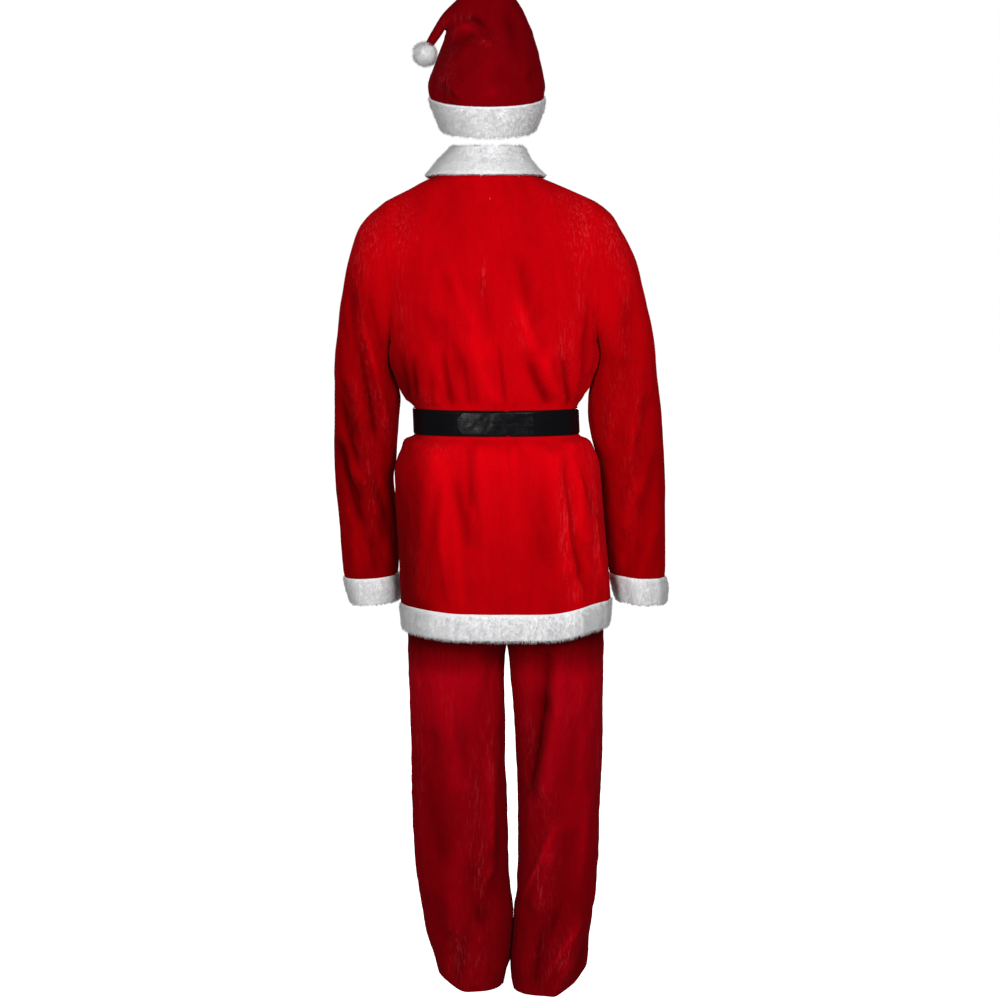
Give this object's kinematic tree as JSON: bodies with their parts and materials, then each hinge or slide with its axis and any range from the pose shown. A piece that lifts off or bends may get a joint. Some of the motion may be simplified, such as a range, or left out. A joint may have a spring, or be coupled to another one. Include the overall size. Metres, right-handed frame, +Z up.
{
  "type": "santa suit",
  "caption": "Santa suit as worn: fur-trimmed velvet hat, belted jacket with fur collar, cuffs and hem, and loose velvet trousers.",
  "frame": {"origin": "point between the wearer's shoulders, level with the collar seam at the centre back, where the suit hangs from the shoulders", "axes": "+Z up along the figure, the front faces -Y, the wearer's left is +X"},
  "size_m": [0.6078, 0.3093, 1.812],
  "materials": {
    "bright_red_velvet": "crushed velvet with a fine bright nap",
    "deep_red_velvet": "crushed velvet in a deeper red",
    "white_fur": "short soft white pile",
    "black_vinyl": "glossy black vinyl, slightly scuffed"
  },
  "bodies": {
    "root": {"belt": "black_vinyl", "belt_tab": "black_vinyl", "collar": "white_fur", "cuff_left": "white_fur", "cuff_right": "white_fur", "hat_back": "deep_red_velvet", "hat_band": "white_fur", "hat_front": "deep_red_velvet", "hat_pompom": "white_fur", "hem_band": "white_fur", "jacket_back_left": "bright_red_velvet", "jacket_back_right": "bright_red_velvet", "jacket_front_left": "bright_red_velvet", "jacket_front_right": "bright_red_velvet", "sleeve_left": "bright_red_velvet", "sleeve_right": "bright_red_velvet", "trousers_back_left": "deep_red_velvet", "trousers_back_right": "deep_red_velvet", "trousers_front_left": "deep_red_velvet", "trousers_front_right": "deep_red_velvet", "trousers_waistband": "deep_red_velvet"}
  },
  "joints": []
}
